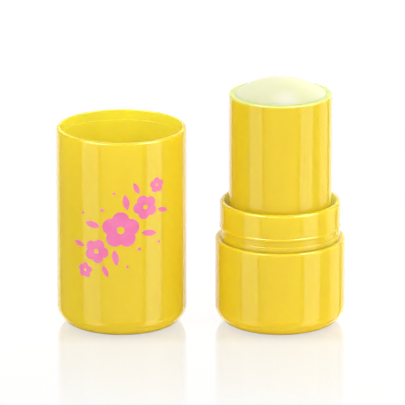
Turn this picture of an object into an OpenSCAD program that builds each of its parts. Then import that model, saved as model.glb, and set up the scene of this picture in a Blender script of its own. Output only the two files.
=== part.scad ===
// Twist-up solid perfume stick, shown open with its overcap standing beside it.
// Millimetres, +Z up. The origin is the middle of the base cup's foot.
// Radii are stacked from the perfume outwards, and heights from the foot upwards.

/* [Perfume] */
// Diameter of the stick of solid perfume
perfume_d = 22.2; // [18:0.2:28]
// Height of the domed top above the edge of the perfume
dome_h = 3.7; // [1.5:0.1:5]

/* [Product tube] */
// Wall of the tube that holds the perfume
tube_wall = 1.45; // [1:0.05:2.2]
// Height of the tube above the collar
tube_out = 27.1; // [24:0.1:36]
// Rounding of the tube's outer top edge
tube_fillet = 0.37; // [0.2:0.01:0.5]
// Height of the retaining flange round the tube
flange_h = 1.4; // [1:0.1:2]
// Width of the two guide ribs in the tube
rib_w = 1.2; // [0.8:0.1:1.6]
// Height of the guide ribs above the tube's bore
rib_out = 0.5; // [0.3:0.05:0.7]
// Distance of the ribs' tops below the tube's rim
rib_down = 5.9; // [5:0.1:6.2]

/* [Neck collar] */
// Height of the collar above the base cup's ledge
neck_h = 9.5; // [8.6:0.1:14]
// Room between the tube and the collar's skirt
skirt_gap = 0.59; // [0.5:0.01:0.8]
// Wall of the skirt that is pressed into the base cup
skirt_wall = 1.3; // [1:0.05:1.6]
// Wall at the collar's rim
rim_wall = 1; // [0.9:0.02:1.1]
// Rounding of the collar's rim
rim_fillet = 0.7; // [0.3:0.05:0.7]
// Depth of the open gap between the tube and the collar
gap_depth = 4; // [3:0.1:4.6]
// Thickness of the ring that guides the tube
guide_h = 1.5; // [1:0.1:1.7]
// Height of the band that centres the cap's mouth
locate_h = 1.3; // [0.8:0.1:1.5]
// Rounding of that band's edge
locate_fillet = 0.2; // [0.1:0.02:0.22]
// Height of the grip bead above the ledge
bead_up = 3.1; // [2.9:0.1:3.6]
// Radius of the grip bead's section
bead_r = 0.5; // [0.42:0.02:0.6]

/* [Base cup] */
// Height of the base cup's ledge above its foot
base_h = 21.8; // [20:0.1:32]
// Wall of the base cup above the collar's seat
base_wall = 1.5; // [1.5:0.05:2]
// Floor of the base cup
base_floor = 1.8; // [1.4:0.1:2.4]
// Outer corner radius at the closed ends of the base cup and the cap
end_corner = 4.6; // [3:0.1:5.4]
// Corner radius inside the base cup
base_inner_corner = 2.2; // [1:0.1:2.6]
// Rounding of the ledge's outer edge
ledge_fillet = 0.5; // [0.2:0.05:0.7]
// Height of the collar's seat above the base cup's floor
seat_up = 4.6; // [4.2:0.1:6]
// Wall of the ring that centres the tube's foot
register_wall = 0.8; // [0.6:0.05:1.2]
// Height of that ring above the tube's foot
register_h = 1.8; // [1.2:0.1:2.4]

/* [Cap] */
// Wall of the cap
cap_wall = 1.05; // [1:0.05:1.2]
// Floor of the cap
cap_floor = 1.6; // [1.2:0.1:2.4]
// Corner radius inside the cap
cap_inner_corner = 3.4; // [2:0.1:4]
// Rounding of the mouth's outer edge
mouth_fillet = 0.65; // [0.3:0.05:0.65]
// Rounding of the mouth's inner edge
mouth_lead = 0.2; // [0.1:0.05:0.2]
// Depth of the wider bore at the mouth
step_down = 2.55; // [2.1:0.05:2.6]
// How much wider the bore is there
step_out = 0.1; // [0.06:0.01:0.12]
// Free height over the perfume when the cap is on
head_room = 8.1; // [4:0.1:12]
// Gap between the stick and the cap that stands beside it
cap_apart = 7.1; // [3:0.1:30]

/* [Drive screw] */
// Radius of the screw's core
core_r = 2.3; // [1.8:0.1:2.6]
// Height of the thread above the core
thread_out = 1.2; // [0.9:0.05:1.5]
// Rise of the thread in one turn
lead = 6; // [4:0.5:8]
// Distance of the screw's tip below the tube's rim
screw_down = 6.4; // [6.3:0.1:9]
// Width of the hexagonal foot across its flats
hex_af = 7; // [6.4:0.1:8]
// Wall of the socket that holds the foot
socket_wall = 1.5; // [1.1:0.1:2]
// Height of the socket above the base cup's floor
socket_h = 4.2; // [3:0.1:4.6]
// Thickness of the shoulder on top of the socket
shoulder_h = 1.2; // [0.8:0.1:1.4]

/* [Platform] */
// Thickness of the disc under the perfume
disc_h = 1.4; // [1:0.1:2]
// Height of the skirt and hub below the disc
plat_skirt_h = 3.4; // [2.6:0.1:5]
// Wall of the platform's skirt
plat_wall = 1; // [0.7:0.05:1.1]
// Wall of the threaded hub
hub_wall = 1.45; // [1:0.05:1.8]
// Height of the hub above the disc
hub_up = 2; // [1:0.1:3]
// Radius of the pegs that hold the perfume
peg_r = 0.9; // [0.5:0.05:1.1]
// Height of those pegs
peg_h = 3; // [1.5:0.1:5]
// Number of those pegs
peg_count = 4; // [3:1:6]

/* [Print] */
// Height of the print's middle above the cap's closed end
print_z = 28; // [22:0.1:32]
// Width of the field round the cap that the printed spray lies in
print_w = 26.4; // [18:0.2:30]
// Thickness of the ink
ink_t = 0.06; // [0.04:0.01:0.1]

/* [Fits] */
// Radial running clearance of parts that turn or slide on each other
run_fit = 0.06; // [0.04:0.01:0.09]
// End clearance of the tube's foot and flange
end_play = 0.1; // [0.06:0.01:0.15]
// Radial clearance of the flange in the collar's skirt
flange_clear = 0.15; // [0.1:0.01:0.2]
// Radial clearance between the cap's bore and the collar
cap_clear = 0.12; // [0.08:0.01:0.15]
// Radial clearance between the cap's bore and the centring band
locate_clear = 0.2; // [0.15:0.01:0.22]
// Clearance between the screw's thread and the hub's
thread_clear = 0.25; // [0.2:0.01:0.35]
// Radial clearance of the platform in the tube
plat_clear = 0.16; // [0.12:0.01:0.25]
// Clearance round the guide ribs
rib_clear = 0.15; // [0.1:0.01:0.25]
// Free height under the platform at its lowest place
plat_rise = 0.5; // [0.3:0.05:0.8]
// Clearance between the screw and the perfume round it
bore_clear = 0.3; // [0.25:0.01:0.5]

/* [Hidden] */
$fn = 96;

// Radii from the perfume outwards
perfume_r = perfume_d / 2;
tube_bore_r = perfume_r + run_fit;
tube_r = tube_bore_r + tube_wall;
guide_bore_r = tube_r + run_fit;
skirt_bore_r = tube_r + skirt_gap;
flange_r = skirt_bore_r - flange_clear;
skirt_r = skirt_bore_r + skirt_wall;
body_r = skirt_r + base_wall;
cap_bore_r = body_r - cap_wall;
band_r = cap_bore_r - cap_clear;
rim_bore_r = band_r - rim_wall;
locate_r = cap_bore_r - locate_clear;
mouth_bore_r = cap_bore_r + step_out;
register_r = tube_bore_r - run_fit;
register_bore_r = register_r - register_wall;

// Heights from the foot upwards
seat_z = base_floor + seat_up;
foot_z = seat_z + end_play;
rim_z = base_h + neck_h;
guide_top_z = rim_z - gap_depth;
guide_foot_z = guide_top_z - guide_h;
flange_top_z = guide_foot_z - end_play;
bead_z = base_h + bead_up;
tube_top_z = rim_z + tube_out;
register_top_z = foot_z + register_h;
socket_top_z = base_floor + socket_h;
shoulder_top_z = socket_top_z + shoulder_h;
screw_top_z = tube_top_z - screw_down;
plat_foot_z = register_top_z + plat_rise;
disc_z = plat_foot_z + plat_skirt_h;
disc_top_z = disc_z + disc_h;
hub_top_z = disc_top_z + hub_up;
rib_foot_z = register_top_z + plat_rise / 2;
rib_top_z = tube_top_z - rib_down;

// Platform
plat_r = tube_bore_r - plat_clear;
plat_bore_r = plat_r - plat_wall;
crest_r = core_r + thread_out;
hub_r = crest_r + thread_clear + hub_wall;
peg_ring_r = (hub_r + plat_bore_r) / 2;

// Perfume: the dome is part of a sphere that passes through the edge of the stick
dome_r = (perfume_r * perfume_r + dome_h * dome_h) / (2 * dome_h);
perfume_bore_r = crest_r + bore_clear;

// Screw: the foot's corner radius follows from its width across the flats
hex_r = hex_af / 2 / cos(30);
socket_r = hex_r + socket_wall;
thread_starts = 2;
crest_half = 14;
flank_foot = 48;
steps_per_turn = 12;
points_round = 12;

// Cap: its height follows from what it covers
cap_h = neck_h + tube_out + dome_h + head_room + cap_floor;
step_z = cap_h - step_down;
cap_x = -(2 * body_r + cap_apart);

// Print: the field is this many units wide, in which the spray is drawn
spray_units = 30;
print_unit = print_w / spray_units;

// How far a cutting shape runs past what it cuts
past = 1;

// Half section of a ring between two radii and two heights
module ring_section(r_in, r_out, z_low, z_high) {
    translate([r_in, z_low])
        square([r_out - r_in, z_high - z_low]);
}

// Half section of a ring whose outer top edge is rounded
module band_section(r_in, r_out, z_low, z_high, corner) {
    ring_section(r_in, r_out, z_low, z_high - corner);
    ring_section(r_in, r_out - corner, z_low, z_high);
    translate([r_out - corner, z_high - corner])
        circle(corner);
}

// Half section of a round body with a large corner at its foot and a small one at its top
module body_section(r, h, foot_corner, top_corner) {
    ring_section(0, r - foot_corner, 0, h - top_corner);
    translate([r - foot_corner, foot_corner])
        circle(foot_corner);
    band_section(0, r, foot_corner, h, top_corner);
}

// Half section of a hollow with a round corner at its floor, open at the top
module hollow_section(r, floor_z, top_z, corner) {
    ring_section(0, r - corner, floor_z, top_z);
    ring_section(0, r, floor_z + corner, top_z);
    translate([r - corner, floor_z + corner])
        circle(corner);
}

// Half section of a ring whose top edges are rounded outside and inside
module rimmed_section(r_in, r_out, z_low, z_high, outer, inner) {
    ring_section(r_in, r_out, z_low, z_high - max(outer, inner));
    ring_section(r_in + inner, r_out - outer, z_low, z_high);
    translate([r_out - outer, z_high - outer])
        circle(outer);
    translate([r_in + inner, z_high - inner])
        circle(inner);
}

// Cross-section of the thread: its radius rises from the core to the crest at each start
function thread_point(angle, radius) = [radius * cos(angle), radius * sin(angle)];
module thread_section(extra) {
    polygon([for (start = [0 : thread_starts - 1])
             for (step = [[-flank_foot, core_r], [-crest_half, crest_r], [0, crest_r],
                          [crest_half, crest_r], [flank_foot, core_r], [90, core_r]])
             thread_point(start * 360 / thread_starts + step[0], step[1] + extra)]);
}

// A left-hand thread between two heights, always in step with the foot
module thread_form(z_low, z_high, extra) {
    turns = (z_high - z_low) / lead;
    translate([0, 0, z_low])
        rotate([0, 0, -360 * z_low / lead])
            linear_extrude(height = z_high - z_low, twist = 360 * turns,
                           slices = ceil(turns * steps_per_turn), segments = points_round)
                thread_section(extra);
}

module base_cup() {
    color("#e3bf30")
    difference() {
        union() {
            difference() {
                rotate_extrude()
                    body_section(body_r, base_h, end_corner, ledge_fillet);
                rotate_extrude()
                    hollow_section(skirt_bore_r, base_floor, base_h + past, base_inner_corner);
                translate([0, 0, seat_z])
                    cylinder(r = skirt_r, h = base_h);
            }
            // Ring that the tube's foot stands on, with a register inside the tube
            rotate_extrude() {
                ring_section(register_bore_r, tube_r, base_floor - past / 2, seat_z);
                ring_section(register_bore_r, register_r, base_floor - past / 2, register_top_z);
            }
            // Socket of the screw's foot
            translate([0, 0, base_floor - past / 2])
                cylinder(r = socket_r, h = socket_h + past / 2);
        }
        translate([0, 0, base_floor])
            cylinder(r = hex_r, h = base_h, $fn = 6);
    }
}

module neck_collar() {
    color("#ead04a")
    rotate_extrude() {
        // Skirt, centring band and the bead that grips the cap's bore, drawn at the bore's radius
        ring_section(skirt_bore_r, skirt_r, seat_z, bead_z);
        band_section(skirt_bore_r, locate_r, base_h, base_h + locate_h, locate_fillet);
        translate([cap_bore_r - bead_r, bead_z])
            circle(bead_r);
        // Collar above the bead, and the ring in it that guides the tube
        rimmed_section(rim_bore_r, band_r, bead_z, rim_z, rim_fillet, rim_fillet / 4);
        ring_section(skirt_bore_r, band_r - rim_fillet, bead_z, guide_top_z);
        ring_section(guide_bore_r, band_r - rim_fillet, guide_foot_z, guide_top_z);
    }
}

module drive_screw() {
    color("#e8e4d2")
    union() {
        translate([0, 0, base_floor])
            cylinder(r = hex_r, h = socket_h, $fn = 6);
        translate([0, 0, socket_top_z])
            cylinder(r = socket_r, h = shoulder_h);
        thread_form(shoulder_top_z - shoulder_h / 2, screw_top_z, 0);
    }
}

// Two ribs on opposite sides, between a radius and the tube's wall
module ribs(r_in, r_out, width, z_low, z_high) {
    for (side = [0, 180])
        rotate([0, 0, side])
            translate([r_in, -width / 2, z_low])
                cube([r_out - r_in, width, z_high - z_low]);
}

module product_tube() {
    color("#ecd048")
    union() {
        rotate_extrude() {
            rimmed_section(tube_bore_r, tube_r, foot_z, tube_top_z, tube_fillet, tube_fillet / 2);
            ring_section(tube_bore_r + tube_wall / 2, flange_r, flange_top_z - flange_h, flange_top_z);
        }
        ribs(tube_bore_r - rib_out, tube_bore_r + tube_wall / 2, rib_w, rib_foot_z, rib_top_z);
    }
}

// Pegs on the disc, and their pockets in the perfume
module pegs() {
    for (i = [0 : peg_count - 1])
        rotate([0, 0, 360 * (i + 0.5) / peg_count])
            translate([peg_ring_r, 0, disc_top_z - disc_h / 2])
                cylinder(r = peg_r, h = peg_h + disc_h / 2);
}

module platform() {
    color("#efeadb")
    difference() {
        union() {
            rotate_extrude() {
                ring_section(plat_bore_r, plat_r, plat_foot_z, disc_top_z);
                ring_section(0, plat_r, disc_z, disc_top_z);
                ring_section(0, hub_r, plat_foot_z, hub_top_z);
            }
            pegs();
        }
        ribs(tube_bore_r - rib_out - rib_clear, tube_r, rib_w + 2 * rib_clear,
             plat_foot_z - past, disc_top_z + past);
        thread_form(plat_foot_z - past, hub_top_z + past, thread_clear);
    }
}

module perfume() {
    color("#f6f5d4")
    difference() {
        union() {
            translate([0, 0, disc_top_z])
                cylinder(r = perfume_r, h = tube_top_z - disc_top_z);
            intersection() {
                translate([0, 0, tube_top_z + dome_h - dome_r])
                    sphere(r = dome_r);
                translate([0, 0, tube_top_z - past])
                    cylinder(r = perfume_r, h = dome_h + 2 * past);
            }
        }
        cylinder(r = perfume_bore_r, h = screw_top_z + bore_clear);
        cylinder(r = hub_r, h = hub_top_z);
        pegs();
        ribs(tube_bore_r - rib_out - rib_clear, tube_r, rib_w + 2 * rib_clear,
             disc_top_z - past, rib_top_z + rib_clear);
    }
}

module cap() {
    color("#e9cd45")
    translate([cap_x, 0, 0])
        rotate_extrude()
        difference() {
            body_section(body_r, cap_h, end_corner, mouth_fillet);
            hollow_section(cap_bore_r, cap_floor, cap_h + past, cap_inner_corner);
            // Wider bore at the mouth, with a rounded lead-in
            ring_section(cap_bore_r - past, mouth_bore_r, step_z, cap_h + past);
            difference() {
                ring_section(cap_bore_r, mouth_bore_r + mouth_lead, cap_h - mouth_lead, cap_h + past);
                translate([mouth_bore_r + mouth_lead, cap_h - mouth_lead])
                    circle(mouth_lead);
            }
        }
}

// One flat motif wrapped on the side of the cap: across and up lie on its surface, in print units
module on_cap(across, up, spin) {
    turn = across * print_unit / body_r * 180 / PI;
    intersection() {
        difference() {
            cylinder(r = body_r + ink_t, h = cap_h);
            cylinder(r = body_r, h = cap_h);
        }
        rotate([0, 0, turn])
            translate([0, 0, print_z + up * print_unit])
                rotate([90, 0, 0])
                    linear_extrude(height = body_r + past)
                        rotate(spin)
                            scale(print_unit)
                                children();
    }
}

// Five round petals with an open middle
module blossom(petal) {
    difference() {
        for (i = [0 : 4])
            rotate(72 * i + 90)
                translate([petal * 1.2, 0])
                    circle(petal);
        circle(petal * 0.45);
    }
}

// Leaf between two arcs
module leaf(length) {
    arc_r = length * 0.72;
    aside = sqrt(arc_r * arc_r - length * length / 4);
    intersection() {
        translate([0, aside])
            circle(arc_r);
        translate([0, -aside])
            circle(arc_r);
    }
}

module cap_print() {
    color("#ef78af")
    translate([cap_x, 0, 0]) {
        on_cap(0, 0, 0)
            blossom(2.4);
        // The spray is the same on both sides of its middle, turned by half a turn
        for (side = [1, -1]) {
            // Blossoms: across, up, spin, petal radius
            for (b = [[7, 6.4, 24, 1.6], [10.6, 12.3, 4, 1]])
                on_cap(side * b[0], side * b[1], side * b[2])
                    blossom(b[3]);
            // Leaves: across, up, spin, length
            for (l = [[1.5, 8, 100, 4.6], [8.1, -1.2, -8, 4.6], [12.6, 4.9, -15, 3.6],
                      [4.4, 12, 115, 3.6]])
                on_cap(side * l[0], side * l[1], l[2])
                    leaf(l[3]);
            // Dots: across, up, radius
            for (d = [[5.2, -5.6, 0.5], [-1.8, 10.6, 0.4], [11.2, -4.2, 0.4]])
                on_cap(side * d[0], side * d[1], 0)
                    circle(d[2]);
        }
    }
}

base_cup();
neck_collar();
drive_screw();
product_tube();
platform();
perfume();
cap();
cap_print();
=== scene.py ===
"""Looks of a twist-up solid perfume stick, open, with its overcap standing beside it."""
import math

import bmesh
import bpy
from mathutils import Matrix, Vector, noise


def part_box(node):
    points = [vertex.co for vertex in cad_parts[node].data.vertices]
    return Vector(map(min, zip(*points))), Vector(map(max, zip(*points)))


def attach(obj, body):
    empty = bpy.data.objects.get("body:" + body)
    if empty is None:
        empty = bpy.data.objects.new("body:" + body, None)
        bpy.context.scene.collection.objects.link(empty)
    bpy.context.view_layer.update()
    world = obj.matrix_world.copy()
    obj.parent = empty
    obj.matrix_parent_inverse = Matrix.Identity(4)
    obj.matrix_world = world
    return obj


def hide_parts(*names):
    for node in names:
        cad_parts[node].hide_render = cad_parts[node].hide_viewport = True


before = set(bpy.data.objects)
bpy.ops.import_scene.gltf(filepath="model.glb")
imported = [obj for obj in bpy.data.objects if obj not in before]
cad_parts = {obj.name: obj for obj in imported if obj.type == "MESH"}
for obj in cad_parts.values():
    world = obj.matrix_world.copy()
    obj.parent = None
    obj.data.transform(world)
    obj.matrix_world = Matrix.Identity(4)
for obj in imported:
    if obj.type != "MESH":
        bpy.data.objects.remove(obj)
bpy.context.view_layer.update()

MM = 0.001

# Sizes in millimetres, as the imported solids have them
END_CORNER = 4.6
CAP_WALL = 1.05
CAP_FLOOR = 1.6
CAP_INNER_CORNER = 3.4
MOUTH_FILLET = 0.65
MOUTH_LEAD = 0.2
STEP_DOWN = 2.55
STEP_OUT = 0.1
STEP_SOFT = 0.06
BEAD_UP = 3.1
BEAD_R = 0.5
BEAD_TOP_R = 14.95
BAND_R = 14.83
LOCATE_R = 14.75
LOCATE_H = 1.3
LOCATE_FILLET = 0.2
RIM_FILLET = 0.7
RIM_BORE_R = 13.83
SKIRT_R = 14.5
SKIRT_BORE_R = 13.2
GUIDE_TOP_DOWN = 4.0
GUIDE_H = 1.5
GUIDE_BORE_R = 12.67
RUN_FIT = 0.06
TUBE_WALL = 1.45
TUBE_FILLET = 0.37
TUBE_FLANGE_R = 13.05
TUBE_FLANGE_TOP_Z = 25.7
TUBE_FLANGE_H = 1.4
BASE_FLOOR = 1.8
BASE_INNER_CORNER = 2.2
LEDGE_FILLET = 0.5
SEAT_Z = 6.4
DOME_H = 3.7
SLOT_DOWN = 5.75
SLOT_HALF = 0.75
SLOT_FLOOR_R = 10.51

# Wax in millimetres, in the scene alone: it fills the tube's bore, runs up to the rim in a thin lip
# with a knee at shares of the lip's size, and each of its slots ends over a short height. The rim's
# painted sheen runs a short way down the tube's outside.
WAX_FILL = 0.045
WAX_LIP = 0.08
LIP_KNEE_OUT = 0.3
LIP_KNEE_DOWN = 0.45
PAINTED_SHEEN_DOWN = 0.42
SLOT_END = 0.05

# Uneven skin of the dome in millimetres, with the noise's scale a metre
SKIN_DEPTH = 0.12
SKIN_START = 0.2
SKIN_EDGE_R = 11.25
SKIN_FADE = 2.0
SKIN_SCALE = 260

# Fineness of the meshes, with the two tolerances in millimetres
SEGMENTS = 256
SAME_POINT = 1e-5
ON_AXIS = 1e-6
SHARP_ANGLE = math.radians(32)

# A face looks inwards below the first value and upwards above the second
INWARD = -0.01
UPWARD = 0.5

# Most of a noise lies between these two values
NOISE_LOW = 0.3
NOISE_HIGH = 0.7

# The lights look at the middle of the object
MIDDLE = Vector((-0.0195, 0, 0.03))

# Upright panels: azimuths of both sides in degrees, distance, bottom and top in metres, radiance.
# Azimuth 0 is the camera's side and 90 the picture's right.
CARDS = {
    "left_card": (-77, -36.5, 1.0, 0.02, 0.5, 2.3),
    "right_card": (37, 84, 1.0, 0.02, 0.5, 2.8),
    "far_right_card": (84, 142, 1.0, 0.02, 0.5, 1.25),
    "front_card": (-35.5, 36, 2.0, 0.02, 1.0, 0.75),
    "back_card": (142, 218, 1.2, 0.02, 0.45, 1.08),
    "high_back_card": (142, 218, 1.2, 0.45, 1.5, 1.45),
    "left_softbox": (-76, -40, 1.0, 0.53, 1.3, 2.1),
    "right_softbox": (44, 84, 1.0, 0.53, 1.3, 2.5),
}
UNMIRRORED_FILLS = {
    "left_back_fill": (-150, -90, 1.1, 0.02, 0.9, 0.5),
    "right_back_fill": (120, 165, 1.1, 0.02, 0.9, 1.3),
}

# Lamps for the polished edges alone: azimuths of both sides, distance and radiance.
# They start high enough, as a share of their distance, that no upright wall mirrors them.
GLINTS = {
    "left_glint": (-77, -36.5, 1.05, 22.0),
    "right_glint": (37, 84, 1.05, 20.0),
    "front_glint": (-36, 36, 1.3, 3.5),
}
GLINT_RISE = 0.52
GLINT_TOP = 1.9

# Square panel above the object: height and side in metres, radiance
OVERHEAD = (1.2, 1.0, 0.5)

# World levels for matt surfaces, for mirroring ones and for the camera
WORLD_FILL = 0.31
WORLD_MIRRORED = 0.08
WORLD_SEEN = 1.0

# Floor, with places in metres. Each fade of its reflection has the place on the y axis where it is
# gone, the one where it is full, and its share of the light, and both stay within a round patch.
FLOOR_SIDE = 6
FLOOR_WHITE = 0.95
GROUND_SHADE = 0.15
FLOOR_POLISH = 0.8
REFLECTION_FADES = ((-0.1, -0.012, 0.17), (-0.021, -0.0125, 0.12))
PATCH_Y = -0.04
PATCH_RADIUS = 0.15
PATCH_FULL = 0.085


def mm_box(node):
    """Lowest and highest corner of a CAD node in millimetres."""
    low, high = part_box(node)
    return low / MM, high / MM


# Meshes


def arc(centre, radius, start, end, steps):
    """Points of an arc in the r-z plane, with angles in degrees from the r axis."""
    points = []
    for i in range(steps + 1):
        a = math.radians(start + (end - start) * i / steps)
        points.append((centre[0] + radius * math.cos(a), centre[1] + radius * math.sin(a)))
    return points


def spaced(points, longest):
    """The same closed outline with long straight stretches cut into shorter ones."""
    result = []
    for a, b in zip(points, points[1:] + points[:1]):
        result.append(a)
        cuts = int(math.dist(a, b) // longest)
        for k in range(1, cuts + 1):
            t = k / (cuts + 1)
            result.append((a[0] + (b[0] - a[0]) * t, a[1] + (b[1] - a[1]) * t))
    return result


def without_repeats(points):
    """The same closed outline without points that lie on the one before."""
    kept = []
    for p in points:
        if not kept or math.dist(p, kept[-1]) > SAME_POINT:
            kept.append(p)
    if math.dist(kept[0], kept[-1]) < SAME_POINT:
        kept.pop()
    return kept


def ring(mesh, r, z, centre_x):
    """Vertices of one turn, in millimetres: a single one on the axis."""
    if r < ON_AXIS:
        return [mesh.verts.new((centre_x * MM, 0, z * MM))]
    vertices = []
    for k in range(SEGMENTS):
        a = 2 * math.pi * k / SEGMENTS
        x = centre_x + r * math.cos(a)
        vertices.append(mesh.verts.new((x * MM, r * math.sin(a) * MM, z * MM)))
    return vertices


def join_rings(mesh, low, high):
    """Faces between two rings, of which one may be a single vertex."""
    if len(low) == 1 and len(high) == 1:
        return
    for k in range(SEGMENTS):
        n = (k + 1) % SEGMENTS
        if len(low) == 1:
            mesh.faces.new((low[0], high[n], high[k]))
        elif len(high) == 1:
            mesh.faces.new((low[k], low[n], high[0]))
        else:
            mesh.faces.new((low[k], low[n], high[n], high[k]))


def lathe(name, outline, centre_x=0.0, longest=4.0):
    """Turns a closed outline in the r-z plane, in millimetres, round a vertical axis."""
    mesh = bmesh.new()
    rings = [ring(mesh, r, z, centre_x) for r, z in spaced(without_repeats(outline), longest)]
    for low, high in zip(rings, rings[1:] + rings[:1]):
        join_rings(mesh, low, high)
    bmesh.ops.recalc_face_normals(mesh, faces=mesh.faces)
    for edge in mesh.edges:
        edge.smooth = edge.calc_face_angle(0.0) < SHARP_ANGLE
    for face in mesh.faces:
        face.smooth = True
    data = bpy.data.meshes.new(name)
    mesh.to_mesh(data)
    mesh.free()
    piece = bpy.data.objects.new(name, data)
    bpy.context.scene.collection.objects.link(piece)
    weighted = piece.modifiers.new("even_normals", "WEIGHTED_NORMAL")
    weighted.keep_sharp = True
    weighted.weight = 100
    return piece


def set_material(piece, material):
    """Gives the whole piece one material."""
    piece.data.materials.clear()
    piece.data.materials.append(material)


def set_faces(piece, material, wanted, centre_x=0.0):
    """Gives the material to the faces that wanted(radius, height, outward, up) picks, in millimetres."""
    piece.data.materials.append(material)
    index = len(piece.data.materials) - 1
    for face in piece.data.polygons:
        x, y, z = face.center / MM
        radius = math.hypot(x - centre_x, y)
        outward = ((x - centre_x) * face.normal.x + y * face.normal.y) / max(radius, ON_AXIS)
        if wanted(radius, z, outward, face.normal.z):
            face.material_index = index


# Nodes of the materials


def linear(red, green, blue):
    """Scene-linear colour of an sRGB colour with 0 to 255 a channel."""
    channels = []
    for value in (red, green, blue):
        c = value / 255
        channels.append(c / 12.92 if c <= 0.04045 else ((c + 0.055) / 1.055) ** 2.4)
    return (*channels, 1.0)


def new_material(name):
    """A material with its nodes, its links and its shader."""
    material = bpy.data.materials.new(name)
    material.use_nodes = True
    nodes = material.node_tree.nodes
    return material, nodes, material.node_tree.links, nodes["Principled BSDF"]


def noise_node(nodes, links, scale, detail=3.0, stretch=(1, 1, 1), turn=0.0):
    """A noise in object coordinates, so that it moves with its piece, turned in degrees."""
    coordinates = nodes.new("ShaderNodeTexCoord")
    mapping = nodes.new("ShaderNodeMapping")
    mapping.inputs["Rotation"].default_value = (0, 0, math.radians(turn))
    mapping.inputs["Scale"].default_value = stretch
    texture = nodes.new("ShaderNodeTexNoise")
    texture.inputs["Scale"].default_value = scale
    texture.inputs["Detail"].default_value = detail
    links.new(coordinates.outputs["Object"], mapping.inputs["Vector"])
    links.new(mapping.outputs["Vector"], texture.inputs["Vector"])
    return texture


def ramp_node(nodes, links, source, stops):
    """Colour ramp over a 0 to 1 value: stops are (position, colour)."""
    ramp = nodes.new("ShaderNodeValToRGB")
    elements = ramp.color_ramp.elements
    while len(elements) < len(stops):
        elements.new(0.5)
    for element, (position, colour) in zip(elements, stops):
        element.position = position
        element.color = colour
    links.new(source, ramp.inputs["Fac"])
    return ramp


def range_node(nodes, links, source, low, high):
    """The usual span of a noise mapped to low to high."""
    mapped = nodes.new("ShaderNodeMapRange")
    mapped.inputs["From Min"].default_value = NOISE_LOW
    mapped.inputs["From Max"].default_value = NOISE_HIGH
    mapped.inputs["To Min"].default_value = low
    mapped.inputs["To Max"].default_value = high
    links.new(source, mapped.inputs["Value"])
    return mapped


def bump_node(nodes, links, source, distance, strength, before=None):
    """Bump of a height, in metres, laid over an earlier bump."""
    bump = nodes.new("ShaderNodeBump")
    bump.inputs["Distance"].default_value = distance
    bump.inputs["Strength"].default_value = strength
    links.new(source, bump.inputs["Height"])
    if before is not None:
        links.new(before.outputs["Normal"], bump.inputs["Normal"])
    return bump


def fade_node(nodes, links, source, start, end, low, high):
    """Soft step of a value: low at start and high at end."""
    fade = nodes.new("ShaderNodeMapRange")
    fade.interpolation_type = "SMOOTHSTEP"
    fade.inputs["From Min"].default_value = start
    fade.inputs["From Max"].default_value = end
    fade.inputs["To Min"].default_value = low
    fade.inputs["To Max"].default_value = high
    links.new(source, fade.inputs["Value"])
    return fade


def spot_node(nodes, links, centre, radius, full=0.0):
    """Soft spot: 1 up to the radius full from the centre, 0 from radius outwards, in metres."""
    coordinates = nodes.new("ShaderNodeTexCoord")
    offset = nodes.new("ShaderNodeVectorMath")
    offset.operation = "DISTANCE"
    offset.inputs[1].default_value = centre
    links.new(coordinates.outputs["Object"], offset.inputs[0])
    return fade_node(nodes, links, offset.outputs["Value"], full, radius, 1.0, 0.0)


def mixed(nodes, links, factor, first, second):
    """Mix of a colour output with a fixed colour."""
    mix = nodes.new("ShaderNodeMix")
    mix.data_type = "RGBA"
    mix.inputs["B"].default_value = second
    links.new(factor, mix.inputs["Factor"])
    links.new(first, mix.inputs["A"])
    return mix


def combined(nodes, links, operation, first, second):
    """Product or sum of two outputs, by the name of the operation."""
    node = nodes.new("ShaderNodeMath")
    node.operation = operation
    links.new(first, node.inputs[0])
    links.new(second, node.inputs[1])
    return node


def mixed_shaders(nodes, links, first, second):
    """Mix of two shader outputs, with its factor still free."""
    mix = nodes.new("ShaderNodeMixShader")
    links.new(first, mix.inputs[1])
    links.new(second, mix.inputs[2])
    return mix


# Materials


def yellow_plastic(name, bright, deep, roughness=(0.05, 0.09), reach=(0.8, 1.0, 0.1)):
    """Polished opaque moulding: faint flow in the pigment, and a very slight waviness of the skin."""
    material, nodes, links, shader = new_material(name)
    flow = noise_node(nodes, links, scale=55, detail=4, stretch=(1, 1, 0.35))
    colour = ramp_node(nodes, links, flow.outputs["Fac"], [(NOISE_LOW, deep), (NOISE_HIGH, bright)])
    links.new(colour.outputs["Color"], shader.inputs["Base Color"])
    smear = noise_node(nodes, links, scale=260, detail=3, stretch=(1, 1, 0.5))
    rough = range_node(nodes, links, smear.outputs["Fac"], *roughness)
    links.new(rough.outputs["Result"], shader.inputs["Roughness"])
    wave = noise_node(nodes, links, scale=90, detail=2, stretch=(1, 1, 0.25))
    grain = noise_node(nodes, links, scale=1500, detail=2)
    broad = bump_node(nodes, links, wave.outputs["Fac"], distance=0.04 * MM, strength=0.5)
    fine = bump_node(nodes, links, grain.outputs["Fac"], distance=0.004 * MM, strength=0.3, before=broad)
    links.new(fine.outputs["Normal"], shader.inputs["Normal"])
    shader.inputs["IOR"].default_value = 1.5
    shader.inputs["Subsurface Weight"].default_value = 1.0
    shader.inputs["Subsurface Radius"].default_value = reach
    shader.inputs["Subsurface Scale"].default_value = 2.5 * MM
    shader.inputs["Specular Tint"].default_value = (0.8, 1.0, 0.75, 1.0)
    return material


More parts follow.
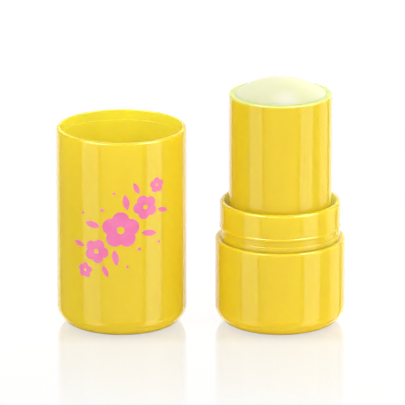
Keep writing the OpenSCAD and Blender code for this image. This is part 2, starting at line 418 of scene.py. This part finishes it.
def natural_plastic():
    """Unpolished off-white moulding of the inner works."""
    material, nodes, links, shader = new_material("natural_plastic")
    cloud = noise_node(nodes, links, scale=140, detail=4)
    colour = ramp_node(nodes, links, cloud.outputs["Fac"],
                       [(NOISE_LOW, linear(228, 224, 208)), (NOISE_HIGH, linear(238, 235, 222))])
    links.new(colour.outputs["Color"], shader.inputs["Base Color"])
    rough = range_node(nodes, links, cloud.outputs["Fac"], 0.35, 0.5)
    links.new(rough.outputs["Result"], shader.inputs["Roughness"])
    grain = noise_node(nodes, links, scale=2500, detail=3)
    bump = bump_node(nodes, links, grain.outputs["Fac"], distance=0.01 * MM, strength=0.4)
    links.new(bump.outputs["Normal"], shader.inputs["Normal"])
    shader.inputs["Subsurface Weight"].default_value = 0.15
    shader.inputs["Subsurface Scale"].default_value = 1.0 * MM
    return material


def painted_sheen_rim():
    """The tube's rim in a pale lime that is a painted sheen, with an uneven roughness and fine bumps."""
    material, nodes, links, shader = new_material("painted_sheen_rim")
    # Painted sheen: this noise varies the rim's pale lime colour, as well as its roughness and bumps.
    smear = noise_node(nodes, links, scale=240, detail=4)
    colour = ramp_node(nodes, links, smear.outputs["Fac"],
                       [(NOISE_LOW, linear(218, 228, 104)), (NOISE_HIGH, linear(224, 234, 140))])
    links.new(colour.outputs["Color"], shader.inputs["Base Color"])
    rough = range_node(nodes, links, smear.outputs["Fac"], 0.3, 0.45)
    links.new(rough.outputs["Result"], shader.inputs["Roughness"])
    bump = bump_node(nodes, links, smear.outputs["Fac"], distance=0.03 * MM, strength=0.5)
    links.new(bump.outputs["Normal"], shader.inputs["Normal"])
    shader.inputs["Subsurface Weight"].default_value = 0.4
    shader.inputs["Subsurface Scale"].default_value = 1.0 * MM
    return material


def crystal_amount(nodes, links, place):
    """Specks of a bloom of crystals, broken up by a noise, within the spot of the given place."""
    coordinates = nodes.new("ShaderNodeTexCoord")
    crystals = nodes.new("ShaderNodeTexVoronoi")
    crystals.inputs["Scale"].default_value = 1300
    links.new(coordinates.outputs["Object"], crystals.inputs["Vector"])
    speck = ramp_node(nodes, links, crystals.outputs["Distance"],
                      [(0.0, (1, 1, 1, 1)), (0.5, (0, 0, 0, 1))])
    patch = noise_node(nodes, links, scale=300, detail=3)
    broken = range_node(nodes, links, patch.outputs["Fac"], 0.0, 1.0)
    within = combined(nodes, links, "MULTIPLY", broken.outputs["Result"], place.outputs["Result"])
    return combined(nodes, links, "MULTIPLY", speck.outputs["Color"], within.outputs["Value"])


def perfume_wax():
    """Poured wax: pale cream with soft strokes across it, a painted glow near its front edge, a satin
    skin and a bloom of crystals.
    """
    material, nodes, links, shader = new_material("perfume_wax")
    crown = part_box("perfume")[1].z
    upper_side = Vector((3.0 * MM, 6.0 * MM, crown - 0.6 * MM))
    painted_glow_place = Vector((1.0 * MM, -9.5 * MM, crown - 2.6 * MM))
    right_side = Vector((8.5 * MM, -3.0 * MM, crown - 2.6 * MM))
    cloud = noise_node(nodes, links, scale=110, detail=4)
    colour = ramp_node(nodes, links, cloud.outputs["Fac"],
                       [(NOISE_LOW, linear(237, 240, 184)), (0.5, linear(241, 242, 195)),
                        (0.72, linear(246, 244, 208))])
    strokes = noise_node(nodes, links, scale=420, detail=3, stretch=(0.16, 1.5, 0.4), turn=32)
    streak = range_node(nodes, links, strokes.outputs["Fac"], 0.0, 1.0)
    upper = spot_node(nodes, links, upper_side, radius=12.5 * MM)
    stroked = combined(nodes, links, "MULTIPLY", streak.outputs["Result"], upper.outputs["Result"])
    drawn = mixed(nodes, links, stroked.outputs["Value"], colour.outputs["Color"],
                  linear(254, 243, 220))
    # Painted glow: a lighter spot near the front edge of the dome.
    painted_glow = spot_node(nodes, links, painted_glow_place, radius=4.5 * MM)
    painted_glow_colour = mixed(nodes, links, painted_glow.outputs["Result"], drawn.outputs["Result"],
                    linear(252, 251, 226))
    amount = crystal_amount(nodes, links, spot_node(nodes, links, right_side, radius=4.2 * MM))
    bloom = mixed(nodes, links, amount.outputs["Value"], painted_glow_colour.outputs["Result"],
                  linear(255, 253, 242))
    links.new(bloom.outputs["Result"], shader.inputs["Base Color"])
    rough = range_node(nodes, links, cloud.outputs["Fac"], 0.34, 0.5)
    links.new(rough.outputs["Result"], shader.inputs["Roughness"])
    broad = bump_node(nodes, links, strokes.outputs["Fac"], distance=0.12 * MM, strength=0.5)
    fine = bump_node(nodes, links, amount.outputs["Value"], distance=0.2 * MM, strength=0.6, before=broad)
    links.new(fine.outputs["Normal"], shader.inputs["Normal"])
    shader.inputs["Subsurface Weight"].default_value = 0.45
    shader.inputs["Subsurface Radius"].default_value = (1.0, 0.9, 0.5)
    shader.inputs["Subsurface Scale"].default_value = 2.5 * MM
    shader.inputs["IOR"].default_value = 1.44
    return material


def pink_ink():
    """Pad-printed ink: a thin satin film with a slightly uneven lay."""
    material, nodes, links, shader = new_material("pink_ink")
    lay = noise_node(nodes, links, scale=420, detail=4)
    colour = ramp_node(nodes, links, lay.outputs["Fac"],
                       [(NOISE_LOW, linear(236, 112, 168)), (NOISE_HIGH, linear(242, 126, 180))])
    links.new(colour.outputs["Color"], shader.inputs["Base Color"])
    rough = range_node(nodes, links, lay.outputs["Fac"], 0.16, 0.26)
    links.new(rough.outputs["Result"], shader.inputs["Roughness"])
    bump = bump_node(nodes, links, lay.outputs["Fac"], distance=0.006 * MM, strength=0.4)
    links.new(bump.outputs["Normal"], shader.inputs["Normal"])
    return material


# Outlines of the pieces, as half sections in the r-z plane


def base_outline():
    """Cup with a rounded foot, the ledge at its top and the seat of the collar's skirt."""
    high = mm_box("base_cup")[1]
    r, h = high.x, high.z
    points = [(0, 0)]
    points += arc((r - END_CORNER, END_CORNER), END_CORNER, -90, 0, steps=24)
    points += arc((r - LEDGE_FILLET, h - LEDGE_FILLET), LEDGE_FILLET, 0, 90, steps=10)
    points += [(SKIRT_R, h), (SKIRT_R, SEAT_Z), (SKIRT_BORE_R, SEAT_Z)]
    corner = (SKIRT_BORE_R - BASE_INNER_CORNER, BASE_FLOOR + BASE_INNER_CORNER)
    points += arc(corner, BASE_INNER_CORNER, 0, -90, steps=10)
    points += [(0, BASE_FLOOR)]
    return points


def collar_outline():
    """Skirt, centring band, grip bead and collar, with the ring inside that guides the tube."""
    low, high = mm_box("neck_collar")
    ledge = mm_box("base_cup")[1].z
    top = high.z
    bead_centre = (BEAD_TOP_R - BEAD_R, ledge + BEAD_UP)
    below = math.degrees(math.acos((SKIRT_R - bead_centre[0]) / BEAD_R))
    above = math.degrees(math.acos((BAND_R - bead_centre[0]) / BEAD_R))
    locate_top = ledge + LOCATE_H
    guide_top = top - GUIDE_TOP_DOWN
    guide_foot = guide_top - GUIDE_H
    inner = RIM_FILLET / 4
    points = [(SKIRT_R, low.z), (SKIRT_R, ledge), (LOCATE_R, ledge)]
    points += arc((LOCATE_R - LOCATE_FILLET, locate_top - LOCATE_FILLET), LOCATE_FILLET, 0, 90, steps=6)
    points += [(SKIRT_R, locate_top)]
    points += arc(bead_centre, BEAD_R, -below, above, steps=16)
    points += arc((BAND_R - RIM_FILLET, top - RIM_FILLET), RIM_FILLET, 0, 90, steps=14)
    points += arc((RIM_BORE_R + inner, top - inner), inner, 90, 180, steps=6)
    points += [(RIM_BORE_R, guide_top), (GUIDE_BORE_R, guide_top)]
    points += [(GUIDE_BORE_R, guide_foot), (SKIRT_BORE_R, guide_foot)]
    points += [(SKIRT_BORE_R, low.z)]
    return points


def tube_outline():
    """Tube with a rounded rim and the flange that holds it down under the guide ring."""
    low, high = mm_box("product_tube")
    r = GUIDE_BORE_R - RUN_FIT
    bore = r - TUBE_WALL
    top = high.z
    inner = TUBE_FILLET / 2
    flange_foot = TUBE_FLANGE_TOP_Z - TUBE_FLANGE_H
    points = [(bore, low.z), (r, low.z), (r, flange_foot), (TUBE_FLANGE_R, flange_foot)]
    points += [(TUBE_FLANGE_R, TUBE_FLANGE_TOP_Z), (r, TUBE_FLANGE_TOP_Z)]
    # Ring where the rim's painted sheen begins.
    points += [(r, top - PAINTED_SHEEN_DOWN)]
    points += arc((r - TUBE_FILLET, top - TUBE_FILLET), TUBE_FILLET, 0, 90, steps=10)
    points += arc((bore + inner, top - inner), inner, 90, 180, steps=6)
    return points


def cap_outline():
    """Cap standing on its closed end, with a slightly wider bore at its mouth."""
    low, high = mm_box("cap")
    r = (high.x - low.x) / 2
    h = high.z
    bore = r - CAP_WALL
    mouth_bore = bore + STEP_OUT
    points = [(0, 0)]
    points += arc((r - END_CORNER, END_CORNER), END_CORNER, -90, 0, steps=24)
    points += arc((r - MOUTH_FILLET, h - MOUTH_FILLET), MOUTH_FILLET, 0, 90, steps=12)
    points += arc((mouth_bore + MOUTH_LEAD, h - MOUTH_LEAD), MOUTH_LEAD, 90, 180, steps=6)
    points += [(mouth_bore, h - STEP_DOWN)]
    points += arc((bore + STEP_SOFT, h - STEP_DOWN - STEP_SOFT), STEP_SOFT, 90, 180, steps=4)
    corner = (bore - CAP_INNER_CORNER, CAP_FLOOR + CAP_INNER_CORNER)
    points += arc(corner, CAP_INNER_CORNER, 0, -90, steps=16)
    points += [(0, CAP_FLOOR)]
    return points


def perfume_outline():
    """Dome with a thin lip where the poured wax ran up to the tube's rounded rim."""
    low, high = mm_box("perfume")
    rim = high.z - DOME_H
    r = high.x + WAX_FILL
    lip_r = r + WAX_LIP
    sphere_r = (lip_r * lip_r + DOME_H * DOME_H) / (2 * DOME_H)
    edge = math.degrees(math.asin(lip_r / sphere_r))
    points = [(0, low.z), (r, low.z), (r, rim - SLOT_DOWN - SLOT_END), (r, rim - SLOT_DOWN)]
    points += [(r, rim - WAX_LIP), (r + LIP_KNEE_OUT * WAX_LIP, rim - LIP_KNEE_DOWN * WAX_LIP)]
    points += arc((0, high.z - sphere_r), sphere_r, 90 - edge, 90, steps=48)
    return points


# Pieces


def make_skin_uneven(piece, start):
    """Sinks the skin above start, in millimetres, a little here and there, as a poured top has it."""
    for vertex in piece.data.vertices:
        p = vertex.co
        if p.z > start * MM:
            amount = noise.noise(Vector((p.x, p.y, p.z)) * SKIN_SCALE)
            inside = min(1.0, (SKIN_EDGE_R * MM - math.hypot(p.x, p.y)) / (SKIN_FADE * MM))
            p.z += SKIN_DEPTH * MM * (amount - 1) / 2 * max(0.0, inside)


def press_slots(piece, top):
    """The two slots that the tube's ribs leave in the side of the wax, seen when it is turned up."""
    for vertex in piece.data.vertices:
        p = vertex.co / MM
        radius = math.hypot(p.x, p.y)
        if p.z < top and abs(p.y) < SLOT_HALF and radius > SLOT_FLOOR_R:
            vertex.co.x *= SLOT_FLOOR_R / radius
            vertex.co.y *= SLOT_FLOOR_R / radius


def build_yellow_pieces():
    """Base cup, collar, tube and cap, with painted light: a lighter yellow inside the cap and a pale one
    in the collar's gap, painted shade on the cap and a painted sheen on the tube's rim.
    """
    body_yellow = yellow_plastic("yellow_body", linear(238, 207, 50), linear(234, 203, 44))
    # Painted shade: the cap's yellow is the body's yellow made a little darker.
    painted_shade_cap_yellow = yellow_plastic("painted_shade_yellow_cap", linear(231, 203, 51), linear(227, 199, 45))
    # Painted light: a pale, almost white yellow for the collar's inner wall round the tube, standing in
    # for light in the narrow gap.
    painted_light_gap_yellow = yellow_plastic("painted_light_yellow_gap", linear(255, 246, 176), linear(253, 243, 166),
                                roughness=(0.2, 0.3), reach=(1.0, 1.0, 0.9))
    # Painted light: a paler, lighter yellow for the inside of the cap, standing in for light that comes
    # through its walls.
    painted_light_inside_yellow = yellow_plastic("painted_light_yellow_inside", linear(255, 226, 84), linear(253, 222, 78),
                                  roughness=(0.16, 0.24))
    cap_low, cap_high = mm_box("cap")
    cap_x = (cap_low.x + cap_high.x) / 2
    made = [
        (lathe("base_cup_shell", base_outline()), "base", "base_cup"),
        (lathe("neck_collar_shell", collar_outline()), "base", "neck_collar"),
        (lathe("product_tube_shell", tube_outline()), "tube", "product_tube"),
        (lathe("cap_shell", cap_outline(), cap_x), "cap", "cap"),
    ]
    for piece, body, node in made:
        set_material(piece, painted_shade_cap_yellow if body == "cap" else body_yellow)
        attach(piece, body)
        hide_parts(node)

    half_way = cap_high.z / 2
    guide_foot = mm_box("neck_collar")[1].z - GUIDE_TOP_DOWN - GUIDE_H
    painted_sheen_foot = mm_box("product_tube")[1].z - PAINTED_SHEEN_DOWN
    base, collar, tube, cap = [piece for piece, body, node in made]
    # Painted light inside the cap and in the collar's gap, and the painted sheen on the tube's rim.
    set_faces(cap, painted_light_inside_yellow,
              lambda r, z, outward, up: outward < INWARD or (up > UPWARD and z < half_way), cap_x)
    set_faces(collar, painted_light_gap_yellow, lambda r, z, outward, up: r < RIM_BORE_R and z > guide_foot)
    set_faces(tube, painted_sheen_rim(), lambda r, z, outward, up: z > painted_sheen_foot)
    return [base, collar, tube, cap]


def build_perfume():
    """Poured stick of wax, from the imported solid's foot to its dome."""
    wax = lathe("perfume_stick", perfume_outline(), longest=2.0)
    rim = mm_box("perfume")[1].z - DOME_H
    make_skin_uneven(wax, rim + SKIN_START)
    press_slots(wax, rim - SLOT_DOWN - SLOT_END / 2)
    set_material(wax, perfume_wax())
    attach(wax, "carriage")
    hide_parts("perfume")


def finish_solids():
    """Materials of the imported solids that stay: the inner works and the print's film of ink."""
    inner = natural_plastic()
    for node in ("drive_screw", "platform"):
        set_material(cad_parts[node], inner)
    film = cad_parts["cap_print"]
    set_material(film, pink_ink())
    film.visible_shadow = False
    film.visible_diffuse = False


# Stage


def make_camera():
    """Pitched long lens: the photograph shows ellipses of 0.27 to 0.31 and almost no taper."""
    pitch = math.radians(16.4)
    distance = 1.48
    pixels_per_mm = 64.9 / 16
    frame_px = 405
    aim = Vector((-19.15 * MM, 0, 30.40 * MM))
    back = Vector((0, -math.cos(pitch), math.sin(pitch)))
    data = bpy.data.cameras.new("camera")
    camera = bpy.data.objects.new("camera", data)
    bpy.context.scene.collection.objects.link(camera)
    camera.location = aim + back * distance
    camera.rotation_mode = "QUATERNION"
    camera.rotation_quaternion = (-back).to_track_quat("-Z", "Y")
    data.sensor_width = 36
    data.lens = data.sensor_width * distance * pixels_per_mm / MM / frame_px
    data.clip_start = 0.05
    data.clip_end = 20
    bpy.context.scene.camera = camera


def area_light(name, width, height, radiance):
    """Soft panel of the given radiance that the camera doesn't see."""
    data = bpy.data.lights.new(name, "AREA")
    data.shape = "RECTANGLE"
    data.size = width
    data.size_y = height
    data.energy = radiance * math.pi * width * height
    light = bpy.data.objects.new(name, data)
    bpy.context.scene.collection.objects.link(light)
    light.visible_camera = False
    return light


def panel(name, start, end, distance, bottom, top, radiance):
    """Upright soft panel between two azimuths in degrees, facing the object."""
    middle = math.radians((start + end) / 2)
    half = math.radians((end - start) / 2)
    light = area_light(name, 2 * distance * math.tan(half), top - bottom, radiance)
    outward = Vector((math.sin(middle), -math.cos(middle), 0))
    light.location = Vector((MIDDLE.x, MIDDLE.y, (bottom + top) / 2)) + outward * distance
    light.rotation_mode = "QUATERNION"
    light.rotation_quaternion = (-outward).to_track_quat("-Z", "Z")
    return light


def make_lights(polished):
    """Cards that the walls mirror by way of the floor, soft lamps, and lamps for the edges alone."""
    for name, place in CARDS.items():
        panel(name, *place)
    for name, place in UNMIRRORED_FILLS.items():
        panel(name, *place).visible_glossy = False
    edges = bpy.data.collections.new("polished_edges")
    for piece in polished:
        edges.objects.link(piece)
    for name, (start, end, distance, radiance) in GLINTS.items():
        glint = panel(name, start, end, distance, GLINT_RISE * distance, GLINT_TOP, radiance)
        glint.visible_diffuse = False
        glint.light_linking.receiver_collection = edges
    height, side, radiance = OVERHEAD
    area_light("overhead_panel", side, side, radiance).location = (MIDDLE.x, MIDDLE.y, height)


def background(nodes, level):
    """Background shader of one grey level."""
    node = nodes.new("ShaderNodeBackground")
    node.inputs["Color"].default_value = (level, level, level, 1)
    return node.outputs["Background"]


def make_world():
    """White room for the camera, dim for matt surfaces and dark for what mirrors it."""
    world = bpy.data.worlds.new("studio")
    bpy.context.scene.world = world
    world.use_nodes = True
    nodes, links = world.node_tree.nodes, world.node_tree.links
    nodes.clear()
    path = nodes.new("ShaderNodeLightPath")
    unseen = mixed_shaders(nodes, links, background(nodes, WORLD_FILL), background(nodes, WORLD_MIRRORED))
    links.new(path.outputs["Is Glossy Ray"], unseen.inputs["Fac"])
    room = mixed_shaders(nodes, links, unseen.outputs["Shader"], background(nodes, WORLD_SEEN))
    links.new(path.outputs["Is Camera Ray"], room.inputs["Fac"])
    output = nodes.new("ShaderNodeOutputWorld")
    links.new(room.outputs["Shader"], output.inputs["Surface"])


def floor_reflection(nodes, links):
    """Share of the mirror in the floor at each place, as the camera sees it."""
    place = nodes.new("ShaderNodeTexCoord")
    split = nodes.new("ShaderNodeSeparateXYZ")
    links.new(place.outputs["Object"], split.inputs["Vector"])
    shares = []
    for front, back, share in REFLECTION_FADES:
        fade = fade_node(nodes, links, split.outputs["Y"], front, back, 0.0, share)
        shares.append(fade.outputs["Result"])
    reflected = combined(nodes, links, "ADD", *shares)
    patch = spot_node(nodes, links, (MIDDLE.x, PATCH_Y, 0), PATCH_RADIUS, PATCH_FULL)
    return combined(nodes, links, "MULTIPLY", reflected.outputs["Value"], patch.outputs["Result"])


def floor_white():
    """Polished white floor: plain white to the camera with a weak reflection, a mirror to the walls."""
    material, nodes, links, shader = new_material("floor_white")
    nodes.remove(shader)
    path = nodes.new("ShaderNodeLightPath")
    lift = nodes.new("ShaderNodeEmission")
    lift.inputs["Color"].default_value = (1, 1, 1, 1)
    matt = nodes.new("ShaderNodeBsdfDiffuse")
    matt.inputs["Color"].default_value = (FLOOR_WHITE, FLOOR_WHITE, FLOOR_WHITE, 1)
    mirror = nodes.new("ShaderNodeBsdfGlossy")
    mirror.inputs["Color"].default_value = (FLOOR_WHITE, FLOOR_WHITE, FLOOR_WHITE, 1)
    grain = noise_node(nodes, links, scale=30, detail=3)
    rough = range_node(nodes, links, grain.outputs["Fac"], 0.03, 0.05)
    links.new(rough.outputs["Result"], mirror.inputs["Roughness"])

    ground = mixed_shaders(nodes, links, lift.outputs["Emission"], matt.outputs["BSDF"])
    ground.inputs["Fac"].default_value = GROUND_SHADE
    seen = mixed_shaders(nodes, links, ground.outputs["Shader"], mirror.outputs["BSDF"])
    links.new(floor_reflection(nodes, links).outputs["Value"], seen.inputs["Fac"])

    polish = nodes.new("ShaderNodeMath")
    polish.operation = "MULTIPLY"
    polish.inputs[1].default_value = FLOOR_POLISH
    links.new(path.outputs["Is Glossy Ray"], polish.inputs[0])
    unseen = mixed_shaders(nodes, links, matt.outputs["BSDF"], mirror.outputs["BSDF"])
    links.new(polish.outputs["Value"], unseen.inputs["Fac"])

    both = mixed_shaders(nodes, links, unseen.outputs["Shader"], seen.outputs["Shader"])
    links.new(path.outputs["Is Camera Ray"], both.inputs["Fac"])
    links.new(both.outputs["Shader"], nodes["Material Output"].inputs["Surface"])
    return material


def make_floor():
    """Square floor under the object."""
    bpy.ops.mesh.primitive_plane_add(size=FLOOR_SIDE, location=(0, 0, 0))
    floor = bpy.context.object
    floor.name = "floor"
    set_material(floor, floor_white())


def main():
    """Builds the pieces and the stage."""
    polished = build_yellow_pieces()
    build_perfume()
    finish_solids()
    make_camera()
    make_lights(polished)
    make_world()
    make_floor()
    bpy.context.scene.view_settings.view_transform = "Standard"


main()
